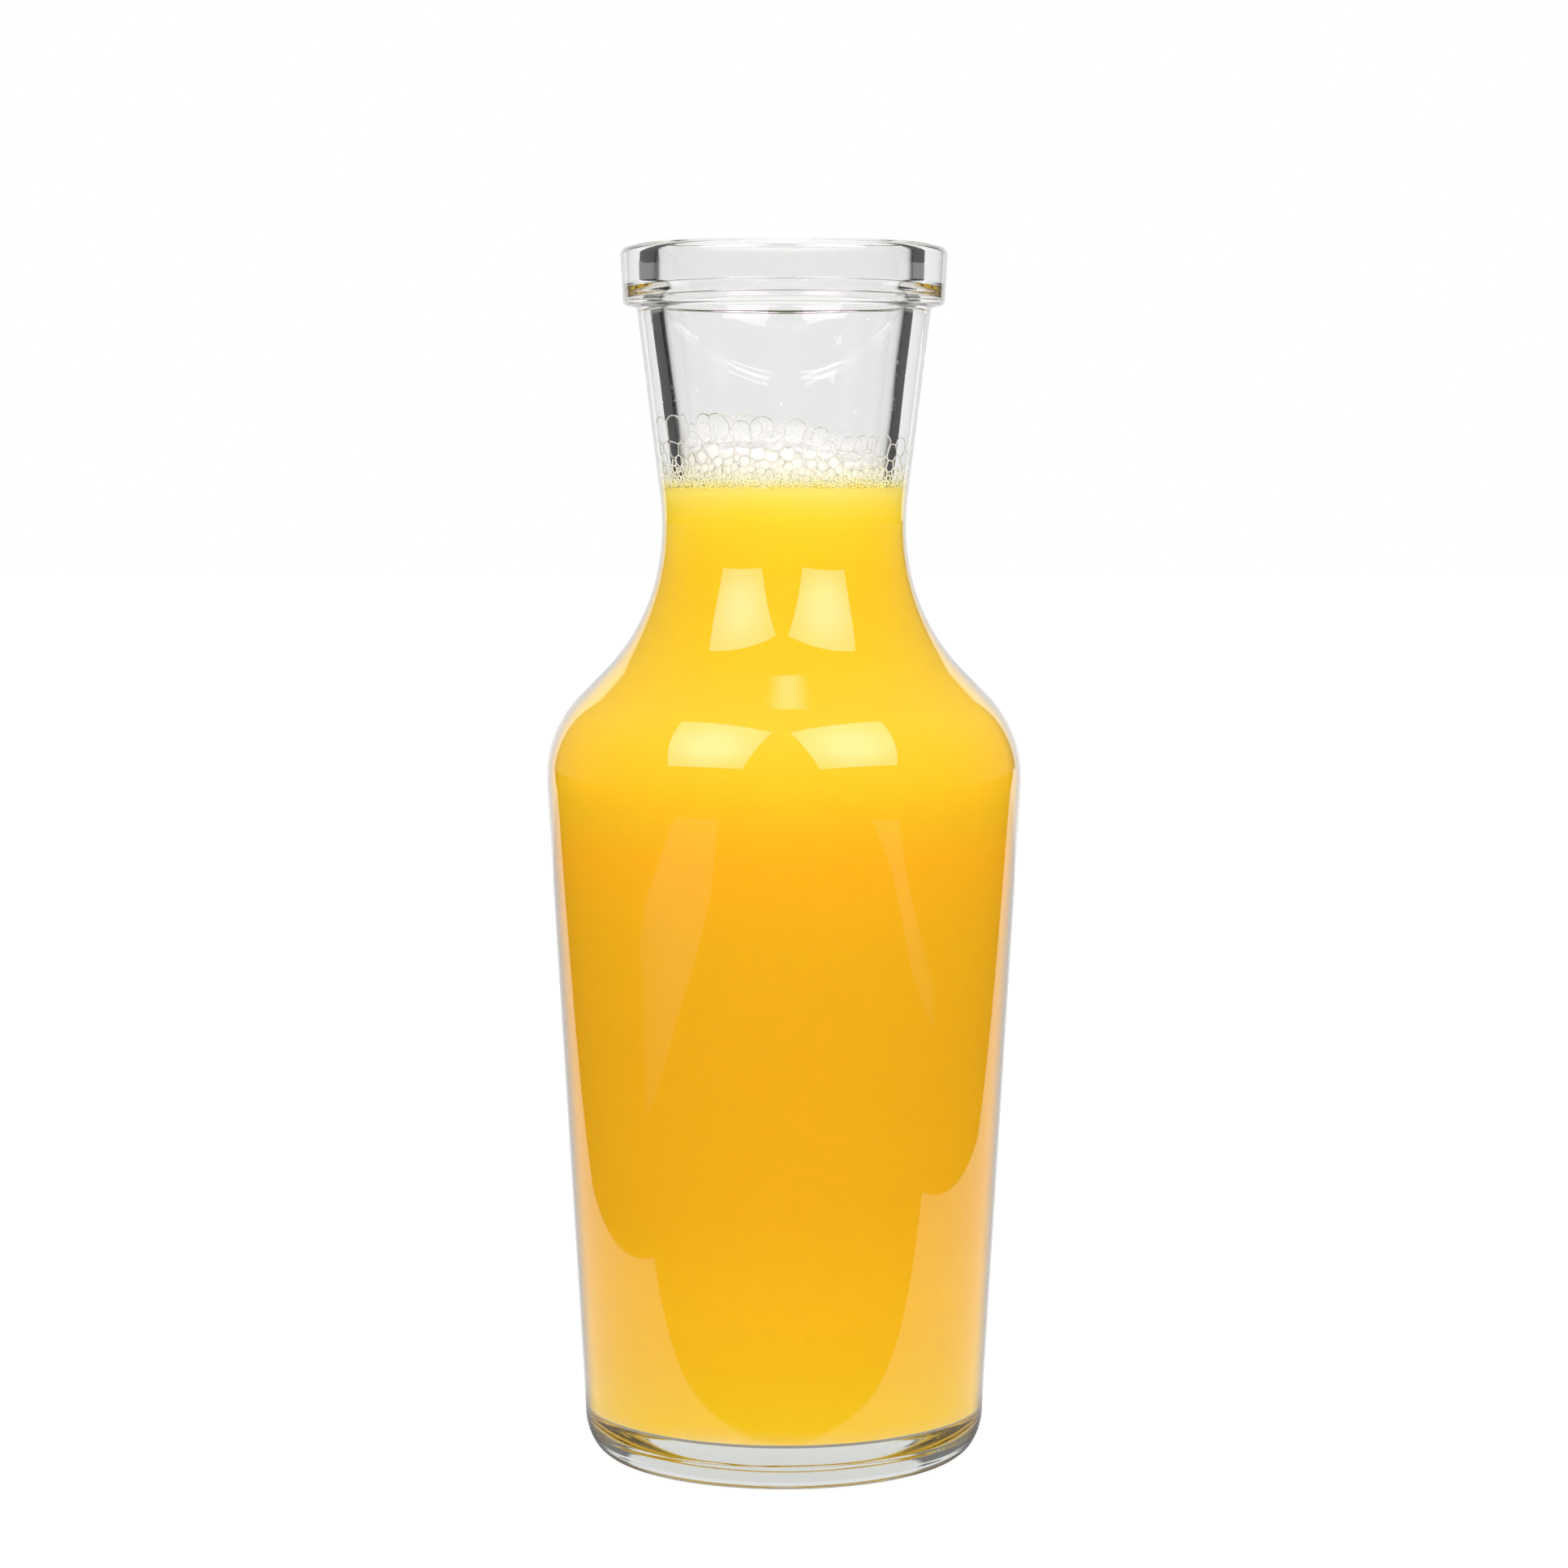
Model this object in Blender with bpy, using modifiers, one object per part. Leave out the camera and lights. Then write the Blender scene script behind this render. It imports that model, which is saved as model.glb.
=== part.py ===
"""A one-litre glass carafe, open at the mouth, filled with orange juice under a head of froth.

The carafe is a single turned piece of thick clear glass: a slightly tapered body, a round shoulder,
a flared neck and a square collar with a raised lip. The juice stands in it up to just above the
waist of the neck, and the froth lies on the juice. The axis is Z and the carafe stands on Z = 0.
"""

import math

import bmesh
import bpy
from mathutils import Matrix, Vector

MM = 0.001

# Outside of the glass, from the table up. Every radius is from the axis.
HEIGHT = 256.0 * MM
REST_INNER_RADIUS = 33.0 * MM
REST_RADIUS = 37.0 * MM
PUSH_UP_RADIUS = 20.0 * MM
PUSH_UP_EDGE = 2.0 * MM
PUSH_UP = 2.6 * MM
HEEL_HEIGHT = 9.5 * MM
BODY_FOOT_RADIUS = 42.59 * MM
BODY_TOP_RADIUS = 50.30 * MM
BODY_TOP_HEIGHT = 142.5 * MM
SHOULDER_ROUND = 24.9 * MM
SHOULDER_SLOPE = math.radians(44.3)
SHOULDER_STRAIGHT = 8.1 * MM
SWEEP_IN = 9.8 * MM
SWEEP_OUT = 16.9 * MM
NECK_FOOT_RADIUS = 26.1 * MM
NECK_FOOT_HEIGHT = 203.4 * MM
NECK_FLARE = 0.122

# The collar at the mouth, the lip on top of it and the ledge inside it.
COLLAR_FOOT_HEIGHT = 243.2 * MM
COLLAR_FOOT_RADIUS = 33.85 * MM
COLLAR_TOP_RADIUS = 34.35 * MM
COLLAR_FOOT_ROUND = 1.4 * MM
COLLAR_TOP_ROUND = 1.8 * MM
COLLAR_UNDERSIDE_FALL = 0.4 * MM
LIP_RADIUS = 31.2 * MM
LIP_STEP = 0.5 * MM
LIP_INNER_ROUND = 1.3 * MM
MOUTH_RADIUS = 27.1 * MM
LEDGE_HEIGHT = 248.1 * MM
LEDGE_FALL = 2.2 * MM

# Wall and floor.
BODY_WALL = 3.3 * MM
NECK_WALL = 5.15 * MM
FLOOR_HEIGHT = 8.9 * MM
FLOOR_RISE = 1.0 * MM
INNER_HEEL_ROUND = 1.6 * MM
FOOT_WALL = 1.3 * MM
FOOT_WALL_HEIGHT = 34.0 * MM

# The juice and the froth's body, which is level on the left and falls away on the right.
GAP = 0.3 * MM
JUICE_LEVEL = 205.6 * MM
FROTH_FOOT = JUICE_LEVEL + GAP
FROTH_GAP = 0.5 * MM
FROTH_LEFT_DEPTH = 10.6 * MM
FROTH_RIGHT_DEPTH = 7.6 * MM
FROTH_FALL = (1.0 * MM, 15.0 * MM)

# The large bubbles on the froth: a ring against the glass and a rosette inside the ring.
WALL_BUBBLES = 17
WALL_BUBBLE_UNEVENNESS = 0.28
WALL_BUBBLE_INSET = 0.75
WALL_BUBBLE_LIFT = 0.35
MIDDLE_BUBBLES = 26
MIDDLE_BUBBLE_SPREAD = 0.82
SMALL_BUBBLE = 1.9 * MM
LARGE_BUBBLE = 3.7 * MM
MIDDLE_BUBBLE = 3.3 * MM
GOLDEN_ANGLE = math.radians(137.508)

# How finely the round shapes are divided.
TURN_STEPS = 48
SHOULDER_STEPS = 8
SWEEP_STEPS = 10
HEEL_STEPS = 4
FOOT_STEPS = 3
CORNER_STEPS = 3
FROTH_RINGS = 5
BUBBLE_DIVISIONS = 2
MERGE = 0.01 * MM


def arc(centre, radius_r, radius_z, start, end, steps):
    """Points on an elliptical arc in degrees. 0 points away from the axis and 90 points up."""
    angles = [math.radians(start + (end - start) * i / steps) for i in range(steps + 1)]
    return [centre + Vector((radius_r * math.cos(a), radius_z * math.sin(a))) for a in angles]


def curve(start, start_handle, end_handle, end, steps):
    """Points on a cubic curve after its start."""
    points = []
    for i in range(1, steps + 1):
        t = i / steps
        s = 1 - t
        points.append(s**3 * start + 3 * s * s * t * start_handle + 3 * s * t * t * end_handle + t**3 * end)
    return points


def point_at_height(low, high, height):
    """The point at this height on the line through two points."""
    return low + (high - low) * ((height - low.y) / (high.y - low.y))


def outer_side():
    """Outside of the body, shoulder and neck, from the top of the heel to the foot of the collar."""
    lean = math.atan2(BODY_TOP_RADIUS - BODY_FOOT_RADIUS, BODY_TOP_HEIGHT - HEEL_HEIGHT)
    body_top = Vector((BODY_TOP_RADIUS, BODY_TOP_HEIGHT))
    centre = body_top - SHOULDER_ROUND * Vector((math.cos(lean), -math.sin(lean)))
    shoulder = arc(
        centre, SHOULDER_ROUND, SHOULDER_ROUND, -math.degrees(lean), math.degrees(SHOULDER_SLOPE), SHOULDER_STEPS
    )
    inward = Vector((-math.sin(SHOULDER_SLOPE), math.cos(SHOULDER_SLOPE)))
    flare = Vector((NECK_FLARE, 1.0)).normalized()
    sweep_start = shoulder[-1] + inward * SHOULDER_STRAIGHT
    neck_foot = Vector((NECK_FOOT_RADIUS, NECK_FOOT_HEIGHT))
    sweep = curve(
        sweep_start, sweep_start + inward * SWEEP_IN, neck_foot - flare * SWEEP_OUT, neck_foot, SWEEP_STEPS
    )
    neck_top = point_at_height(neck_foot, neck_foot + flare, COLLAR_FOOT_HEIGHT - COLLAR_UNDERSIDE_FALL)
    return [Vector((BODY_FOOT_RADIUS, HEEL_HEIGHT)), *shoulder, sweep_start, *sweep, neck_top]


def eased_share(value, start, end):
    """How far a value is from start to end, from 0 to 1, without a sudden change at either."""
    t = min(max((value - start) / (end - start), 0.0), 1.0)
    return t * t * (3 - 2 * t)


def wall_thickness(height):
    """The wall is thin in the body and grows through the shoulder to the thick neck."""
    share = eased_share(height, BODY_TOP_HEIGHT, NECK_FOOT_HEIGHT)
    return BODY_WALL + (NECK_WALL - BODY_WALL) * share


def inner_side():
    """Inside of the wall, from the top of the inner heel to the ledge: the outside, less the wall."""
    outside = outer_side()
    inside = []
    for i, point in enumerate(outside):
        before = outside[max(i - 1, 0)]
        after = outside[min(i + 1, len(outside) - 1)]
        along = (after - before).normalized()
        inside.append(point + Vector((-along.y, along.x)) * wall_thickness(point.y))
    inside[-1] = point_at_height(inside[-2], inside[-1], LEDGE_HEIGHT - LEDGE_FALL)
    return [*foot_inside(inside[0], inside[1]), *inside[1:]]


def foot_inside(low, high):
    """Inside of the wall in the foot, where the wall grows a little thicker towards the floor."""
    found = []
    heel_top = FLOOR_HEIGHT + INNER_HEEL_ROUND
    for step in range(FOOT_STEPS + 1):
        height = heel_top + (FOOT_WALL_HEIGHT - heel_top) * step / FOOT_STEPS
        thicker = FOOT_WALL * eased_share(height, FOOT_WALL_HEIGHT, FLOOR_HEIGHT)
        found.append(point_at_height(low, high, height) - Vector((thicker, 0.0)))
    return found


def inner_radius(height):
    """Radius of the inside of the wall at this height."""
    inside = inner_side()
    above = next(i for i in range(1, len(inside)) if inside[i].y >= height)
    return point_at_height(inside[above - 1], inside[above], height).x


def bottom_of_hollow(gap):
    """The floor and the round inner heel, from the axis out to the wall, drawn in from the glass by a gap."""
    heel_top = FLOOR_HEIGHT + INNER_HEEL_ROUND
    centre = Vector((inner_radius(heel_top) - INNER_HEEL_ROUND, heel_top))
    radius = INNER_HEEL_ROUND - gap
    heel = arc(centre, radius, radius, -90, 0, HEEL_STEPS)
    return [Vector((0.0, FLOOR_HEIGHT + FLOOR_RISE + gap)), *heel[:-1]]


def mouth():
    """The ledge, the mouth and the lip, from the inside to the top of the collar."""
    lip_round = Vector((MOUTH_RADIUS + LIP_INNER_ROUND, HEIGHT - LIP_INNER_ROUND))
    half_step = LIP_STEP / 2
    return [
        Vector((MOUTH_RADIUS, LEDGE_HEIGHT)),
        *arc(lip_round, LIP_INNER_ROUND, LIP_INNER_ROUND, 180, 90, CORNER_STEPS),
        Vector((LIP_RADIUS - half_step, HEIGHT)),
        Vector((LIP_RADIUS, HEIGHT - half_step)),
        Vector((LIP_RADIUS + half_step, HEIGHT - LIP_STEP)),
    ]


def collar():
    """The outside of the collar, from its top to its underside."""
    top = Vector((COLLAR_TOP_RADIUS - COLLAR_TOP_ROUND, HEIGHT - LIP_STEP - COLLAR_TOP_ROUND))
    foot = Vector((COLLAR_FOOT_RADIUS - COLLAR_FOOT_ROUND, COLLAR_FOOT_HEIGHT + COLLAR_FOOT_ROUND))
    return [
        *arc(top, COLLAR_TOP_ROUND, COLLAR_TOP_ROUND, 90, 0, CORNER_STEPS),
        *arc(foot, COLLAR_FOOT_ROUND, COLLAR_FOOT_ROUND, 0, -90, CORNER_STEPS),
    ]


def base():
    """The round heel, the ring that the carafe rests on and the push-up inside it."""
    centre = Vector((REST_RADIUS, HEEL_HEIGHT))
    return [
        *arc(centre, BODY_FOOT_RADIUS - REST_RADIUS, HEEL_HEIGHT, 0, -90, HEEL_STEPS),
        Vector((REST_INNER_RADIUS, 0.0)),
        Vector((PUSH_UP_RADIUS, PUSH_UP_EDGE)),
        Vector((0.0, PUSH_UP)),
    ]


def carafe_profile():
    """The whole section of the glass: up the inside, over the lip and down the outside."""
    outside = reversed(outer_side()[1:])
    return [*bottom_of_hollow(0.0), *inner_side(), *mouth(), *collar(), *outside, *base()]


def juice_profile():
    """The hollow up to the level of the juice, clear of the glass by a gap, from the top down."""
    wall = [point - Vector((GAP, 0.0)) for point in inner_side() if point.y < JUICE_LEVEL - GAP]
    top_edge = Vector((inner_radius(JUICE_LEVEL) - GAP, JUICE_LEVEL))
    upwards = [*bottom_of_hollow(GAP), *wall, top_edge, Vector((0.0, JUICE_LEVEL))]
    return list(reversed(upwards))


def make_material(name, colour, roughness, ior, transmission=0.0):
    material = bpy.data.materials.new(name)
    material.use_nodes = True
    shader = material.node_tree.nodes["Principled BSDF"]
    shader.inputs["Base Color"].default_value = (*colour, 1.0)
    shader.inputs["Roughness"].default_value = roughness
    shader.inputs["Metallic"].default_value = 0.0
    shader.inputs["IOR"].default_value = ior
    shader.inputs["Transmission Weight"].default_value = transmission
    return material


def add_object(name, mesh, collection, material=None):
    obj = bpy.data.objects.new(name, mesh)
    if material:
        mesh.materials.append(material)
    collection.objects.link(obj)
    return obj


def turned(name, profile, collection, material):
    """A section of (radius, height) points turned about Z. It starts and ends on the axis."""
    mesh = bpy.data.meshes.new(name)
    points = [(point.x, 0.0, point.y) for point in profile]
    mesh.from_pydata(points, [(i, i + 1) for i in range(len(points) - 1)], [])
    obj = add_object(name, mesh, collection, material)
    turn = obj.modifiers.new("Turn", "SCREW")
    turn.axis = "Z"
    turn.angle = 2 * math.pi
    turn.steps = TURN_STEPS
    turn.render_steps = TURN_STEPS
    turn.use_merge_vertices = True
    turn.merge_threshold = MERGE
    turn.use_smooth_shade = True
    return obj


def froth_depth(x):
    """Depth of the froth's body, which falls away on the right."""
    return FROTH_LEFT_DEPTH + (FROTH_RIGHT_DEPTH - FROTH_LEFT_DEPTH) * eased_share(x, *FROTH_FALL)


def bubbles():
    """Centre and radius of each large bubble. They are larger on the left."""
    found = []
    for i in range(WALL_BUBBLES):
        angle = 2 * math.pi * (i + WALL_BUBBLE_UNEVENNESS * math.sin(2.4 * i)) / WALL_BUBBLES
        size = 0.5 * (1 - math.cos(angle)) * (0.77 + 0.23 * math.sin(5.3 * i + 1.0))
        radius = SMALL_BUBBLE + (LARGE_BUBBLE - SMALL_BUBBLE) * size
        reach = inner_radius(FROTH_FOOT) - WALL_BUBBLE_INSET * radius
        x, y = reach * math.cos(angle), reach * math.sin(angle)
        found.append((Vector((x, y, FROTH_FOOT + froth_depth(x) + WALL_BUBBLE_LIFT * radius)), radius))
    for i in range(1, MIDDLE_BUBBLES + 1):
        angle = i * GOLDEN_ANGLE
        size = 0.5 * (1 - math.cos(angle)) * (0.5 + 0.5 * math.sin(3.1 * i))
        radius = SMALL_BUBBLE + (MIDDLE_BUBBLE - SMALL_BUBBLE) * size
        reach = MIDDLE_BUBBLE_SPREAD * inner_radius(FROTH_FOOT) * math.sqrt(i / (MIDDLE_BUBBLES + 1))
        x, y = reach * math.cos(angle), reach * math.sin(angle)
        found.append((Vector((x, y, FROTH_FOOT + froth_depth(x))), radius))
    return found


def neck_cone_mesh(name, low, gap):
    """The hollow of the neck from this height to the ledge, clear of the glass by a gap."""
    high = LEDGE_HEIGHT - LEDGE_FALL
    bm = bmesh.new()
    bmesh.ops.create_cone(
        bm, cap_ends=True, segments=TURN_STEPS, depth=high - low,
        radius1=inner_radius(low) - gap, radius2=inner_radius(high) - gap,
        matrix=Matrix.Translation((0.0, 0.0, (low + high) / 2)),
    )
    return to_mesh(bm, name)


def froth_body_mesh():
    """The froth from the juice up to its top, clear of the glass by a gap."""
    angles = [2 * math.pi * step / TURN_STEPS for step in range(TURN_STEPS)]
    foot_radius = inner_radius(FROTH_FOOT) - FROTH_GAP
    points = [Vector((0.0, 0.0, FROTH_FOOT)), Vector((0.0, 0.0, FROTH_FOOT + froth_depth(0.0)))]
    points += [Vector((foot_radius * math.cos(a), foot_radius * math.sin(a), FROTH_FOOT)) for a in angles]
    for ring in range(FROTH_RINGS, 0, -1):
        for angle in angles:
            depth = froth_depth(foot_radius * math.cos(angle) * ring / FROTH_RINGS)
            reach = (inner_radius(FROTH_FOOT + depth) - FROTH_GAP) * ring / FROTH_RINGS
            points.append(Vector((reach * math.cos(angle), reach * math.sin(angle), FROTH_FOOT + depth)))
    faces = []
    last = 2 + FROTH_RINGS * TURN_STEPS
    for step in range(TURN_STEPS):
        after = (step + 1) % TURN_STEPS
        faces.append((0, 2 + after, 2 + step))
        faces.append((1, last + step, last + after))
        for low in range(2, last, TURN_STEPS):
            high = low + TURN_STEPS
            faces.append((low + step, low + after, high + after, high + step))
    mesh = bpy.data.meshes.new("froth")
    mesh.from_pydata(points, [], faces)
    return mesh


def bubble_mesh(centre, radius):
    bm = bmesh.new()
    place = Matrix.Translation(centre)
    bmesh.ops.create_icosphere(bm, subdivisions=BUBBLE_DIVISIONS, radius=radius, matrix=place)
    return to_mesh(bm, "bubble")


def to_mesh(bm, name):
    mesh = bpy.data.meshes.new(name)
    bm.to_mesh(mesh)
    bm.free()
    return mesh


def boolean(obj, operation, cutters):
    """Joins or cuts the object with every object of the collection, and removes them."""
    modifier = obj.modifiers.new(operation.title(), "BOOLEAN")
    modifier.operation = operation
    modifier.operand_type = "COLLECTION"
    modifier.collection = cutters
    modifier.solver = "EXACT"
    graph = bpy.context.evaluated_depsgraph_get()
    mesh = bpy.data.meshes.new_from_object(obj.evaluated_get(graph))
    obj.modifiers.clear()
    obj.data = mesh
    for cutter in list(cutters.objects):
        bpy.data.objects.remove(cutter)


def froth(collection, cutters, material):
    """The froth's body with the large bubbles fused on, all kept inside the hollow of the neck."""
    obj = add_object("froth", froth_body_mesh(), collection, material)
    for index, (centre, radius) in enumerate(bubbles()):
        add_object(f"bubble_{index}", bubble_mesh(centre, radius), cutters)
    boolean(obj, "UNION", cutters)
    add_object("neck_hollow", neck_cone_mesh("neck_hollow", JUICE_LEVEL, GAP), cutters)
    boolean(obj, "INTERSECT", cutters)
    obj.data.shade_smooth()
    return obj


def main():
    for obj in list(bpy.data.objects):
        bpy.data.objects.remove(obj)
    collection = bpy.data.collections.new("Carafe")
    cutters = bpy.data.collections.new("Cutters")
    for made in (collection, cutters):
        bpy.context.scene.collection.children.link(made)
    glass = make_material("clear glass", (0.96, 0.98, 0.97), 0.02, 1.52, transmission=1.0)
    juice = make_material("orange juice", (0.95, 0.50, 0.02), 0.25, 1.35)
    foam = make_material("froth", (0.98, 0.93, 0.70), 0.35, 1.35)
    turned("carafe", carafe_profile(), collection, glass)
    turned("juice", juice_profile(), collection, juice)
    froth(collection, cutters, foam)


main()
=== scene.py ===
"""Looks of a one-litre carafe of thick clear glass, filled with orange juice under a head of froth.

The glass, the juice and the froth are fine meshes that stand for the solids of the frame. They follow
the same section: a tapered body, a round shoulder, a flared neck and a square collar with a lip. The
axis is Z, the carafe stands on Z = 0 and the camera looks along +Y. An angle round the axis is measured
from the side that faces the camera, towards +X.
"""

import bisect
import math
import random

import bmesh
import bpy
import numpy
from mathutils import Matrix, Vector, noise


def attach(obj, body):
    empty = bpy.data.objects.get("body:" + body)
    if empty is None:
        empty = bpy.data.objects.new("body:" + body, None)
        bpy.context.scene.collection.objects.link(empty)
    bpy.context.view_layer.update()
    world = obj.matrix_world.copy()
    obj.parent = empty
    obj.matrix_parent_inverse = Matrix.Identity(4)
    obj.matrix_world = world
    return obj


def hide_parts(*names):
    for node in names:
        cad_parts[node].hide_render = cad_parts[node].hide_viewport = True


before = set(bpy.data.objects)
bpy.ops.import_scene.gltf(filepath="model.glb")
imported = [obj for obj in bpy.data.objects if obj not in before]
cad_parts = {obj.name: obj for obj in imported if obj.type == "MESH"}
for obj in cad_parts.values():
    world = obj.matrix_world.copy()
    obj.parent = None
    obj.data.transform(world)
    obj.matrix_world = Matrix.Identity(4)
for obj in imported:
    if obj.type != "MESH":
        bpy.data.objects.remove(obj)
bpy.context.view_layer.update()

MM = 0.001

# Outside of the glass, from the table up. Every radius is from the axis.
HEIGHT = 256.0 * MM
REST_INNER_RADIUS = 33.0 * MM
REST_RADIUS = 37.0 * MM
PUSH_UP_RADIUS = 20.0 * MM
PUSH_UP_EDGE = 2.0 * MM
PUSH_UP = 2.6 * MM
HEEL_HEIGHT = 9.5 * MM
HEEL_STEPS = 52
HEEL_GROOVES = (5.7 * MM, 3.1 * MM, 0.9 * MM)
GROOVE_DEPTH = 0.05 * MM
GROOVE_WIDTH = 0.28 * MM
GROOVE_LENGTH = 9.0 * MM
GROOVE_SHARE = (0.7, 0.6)
BODY_FOOT_RADIUS = 42.59 * MM
BODY_TOP_RADIUS = 50.30 * MM
BODY_TOP_HEIGHT = 142.5 * MM
SHOULDER_ROUND = 24.9 * MM
SHOULDER_SLOPE = math.radians(44.3)
SHOULDER_STRAIGHT = 8.1 * MM
SWEEP_IN = 9.8 * MM
SWEEP_OUT = 16.9 * MM
NECK_FOOT_RADIUS = 26.1 * MM
NECK_FOOT_HEIGHT = 203.4 * MM
NECK_FLARE = 0.122

# The collar at the mouth, the lip on top of it and the ledge inside it.
COLLAR_FOOT_HEIGHT = 243.2 * MM
COLLAR_FOOT_RADIUS = 33.85 * MM
COLLAR_TOP_RADIUS = 34.35 * MM
COLLAR_FOOT_ROUND = 1.4 * MM
COLLAR_TOP_ROUND = 1.8 * MM
COLLAR_UNDERSIDE_FALL = 0.4 * MM
LIP_RADIUS = 31.2 * MM
LIP_STEP = 0.5 * MM
LIP_INNER_ROUND = 1.3 * MM
MOUTH_RADIUS = 27.1 * MM
LEDGE_HEIGHT = 248.1 * MM
LEDGE_FALL = 2.2 * MM

# Wall and floor.
BODY_WALL = 3.3 * MM
NECK_WALL = 5.15 * MM
FLOOR_HEIGHT = 8.9 * MM
FLOOR_RISE = 1.0 * MM
INNER_HEEL_ROUND = 1.6 * MM
FOOT_WALL = 1.3 * MM
FOOT_WALL_HEIGHT = 34.0 * MM

# How finely the glass is divided, and how uneven its faces are.
TURN_STEPS = 288
EASE = 0.5 * MM
EASE_STEPS = 3
EASE_FROM = math.radians(12)
EASE_LIMIT = 0.45
INNER_WAVE = 0.05 * MM
INNER_WAVE_LENGTH = 11.0 * MM
OUTER_WAVE = 0.012 * MM
OUTER_WAVE_LENGTH = 22.0 * MM
WAVE_FADE = 6.0 * MM

# The juice reaches a little way into the wall. On the floor a hair of air mirrors low light, as the face
# between juice and glass does, up to where the round edge of the floor has turned by some degrees. The
# juice's colours drift up and down by a few millimetres.
JUICE_LEVEL = 205.6 * MM
REACH = 0.12 * MM
FLOOR_GAP = 0.05 * MM
CONTACT_FROM = 60.0
CONTACT_STEP = 2.0
CONTACT_TO = -5.0
CLOUD_DRIFT = 4.0 * MM

# The froth's body and the large bubbles on it, as in the solid. Their sizes swing about a mean, with a
# beat from bubble to bubble and a phase.
FROTH_FOOT = JUICE_LEVEL + 0.3 * MM
FROTH_LEFT_DEPTH = 10.6 * MM
FROTH_RIGHT_DEPTH = 7.6 * MM
FROTH_FALL = (1.0 * MM, 15.0 * MM)
WALL_BUBBLES = 17
WALL_BUBBLE_UNEVENNESS = 0.28
WALL_BUBBLE_BEAT = 2.4
WALL_BUBBLE_SIZES = (0.77, 0.23, 5.3, 1.0)
WALL_BUBBLE_INSET = 0.75
WALL_BUBBLE_LIFT = 0.35
MIDDLE_BUBBLES = 26
MIDDLE_BUBBLE_SPREAD = 0.82
MIDDLE_BUBBLE_SIZES = (0.5, 0.5, 3.1, 0.0)
SMALL_BUBBLE = 1.9 * MM
LARGE_BUBBLE = 3.7 * MM
MIDDLE_BUBBLE = 3.3 * MM
GOLDEN_ANGLE = math.radians(137.508)

# The net of bubbles against the glass: finest at the juice, with ribs of liquid between the bubbles.
# Powers shape a random share: over 1, low values come up more often.
NET_RADIUS = 21.9 * MM
NET_SEED = 11
NET_TRIES = 30000
NET_LIMIT = 4000
NET_REACH = 0.16 * MM
NET_FINEST = 0.27 * MM
NET_COARSEST = 1.9 * MM
NET_TIGHTNESS = 0.88
NET_LOWER = 0.3 * MM
NET_HIGHER = 1.2 * MM
NET_HEIGHT_POWER = 1.7
NET_SIZE_POWER = 1.6
NET_FIRST_SIZE = 1.35
NET_SIZE_FALL = 0.8
WALL_BUBBLE_PRINT = 0.9
CELL_REACH = 1.2
CELL_NEAR = 1.3
CELL_SIDE = 0.45
CELL_CORNERS = (22, 12)
CELL_PARTS = 4
RIB = 0.035 * MM
RIB_SHARE = 0.032
LOW_RIB = 0.15 * MM
LOW_RIB_HEIGHT = 7.0 * MM
WELL_DEPTH = 0.35 * MM
OPEN_RIB_DEPTH = 1.7
HOLE_LEAST = 0.3
OPEN_FROM = 0.3

# The froth's core just behind the net, with a raft of bubbles on top.
CORE_INSET = 0.35 * MM
CORE_WAVE = 0.12 * MM
CORE_WAVE_LENGTH = 0.9 * MM
CORE_LOWER = 2.1 * MM
CORE_ROUND = 0.7 * MM
CORE_ROUND_FROM = 0.94
CORE_UNEVEN = 1.5 * MM
CORE_UNEVEN_LENGTH = 2.6 * MM
RAFT_EDGE = 0.6 * MM
RAFT_RINGS = 96
RAFT_STEPS = 300
RAFT_SIDES = 12
RAFT_BUBBLES = 700
RAFT_TRIES = 12
RAFT_SMALLEST = 0.45 * MM
RAFT_LARGEST = 1.9 * MM
RAFT_SIZES = (0.75, 0.25)
RAFT_TIGHTNESS = 0.72
RAFT_SINK = 0.35
RAFT_RIM_SHARE = 0.3

# Smaller clear bubbles piled between the large ones, and the smallest along the glass.
FILM_GAP = 0.03 * MM
PILED_BUBBLES = 200
PILED_SMALLEST = 0.7 * MM
PILED_LARGEST = 2.0 * MM
PILE_TOP = 2.4 * MM
PILED_SIZE_POWER = 1.5
PILED_INSET = 0.8
PILED_HEIGHT_POWER = 1.3
EDGE_BUBBLES = 170
EDGE_SMALLEST = 0.4 * MM
EDGE_LARGEST = 1.0 * MM
EDGE_DEPTH = 4.6 * MM
EDGE_INSET = (0.9, 2.4)
EDGE_HEIGHT_POWER = 1.8

# Droplets that the pour left on the wall. Their smallest and added size are in millimetres.
DROPLETS = 70
DROPLET_LOW = 221.0 * MM
DROPLET_HIGH = 241.0 * MM
DROPLET_HEIGHT_POWER = 1.6
DROPLET_SMALLEST = 0.10
DROPLET_ADDED = 0.30
DROPLET_SHAPE = (1.0, 0.5, 1.15, 1.0)
DROPLET_SINK = 0.1

# Glass, froth and films. The glass darkens from one facing to another. An opacity is how much a film
# adds at its outline, with what power that falls and how much is left in the middle.
GLASS_IOR = 1.52
GLASS_TINT = (0.812, 0.822, 0.808, 1.0)
GLASS_DENSITY = 24.0
GLASS_OUTLINE = (0.66, 0.85, 1.0, 0.02)
LIQUID_IOR = 1.34
NET_ROUGHNESS = 0.1
CORE_ROUGHNESS = 0.25
FILM_COLOUR = (0.95, 0.96, 0.92, 1.0)
FILM_OUTLINE = (0.55, 0.56, 0.50, 1.0)
FILM_OPACITY = (0.55, 6.0, 0.02)
FOAM_OUTLINE = (0.92, 0.93, 0.87, 1.0)
FOAM_OPACITY = (0.22, 4.0, 0.032)

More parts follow.
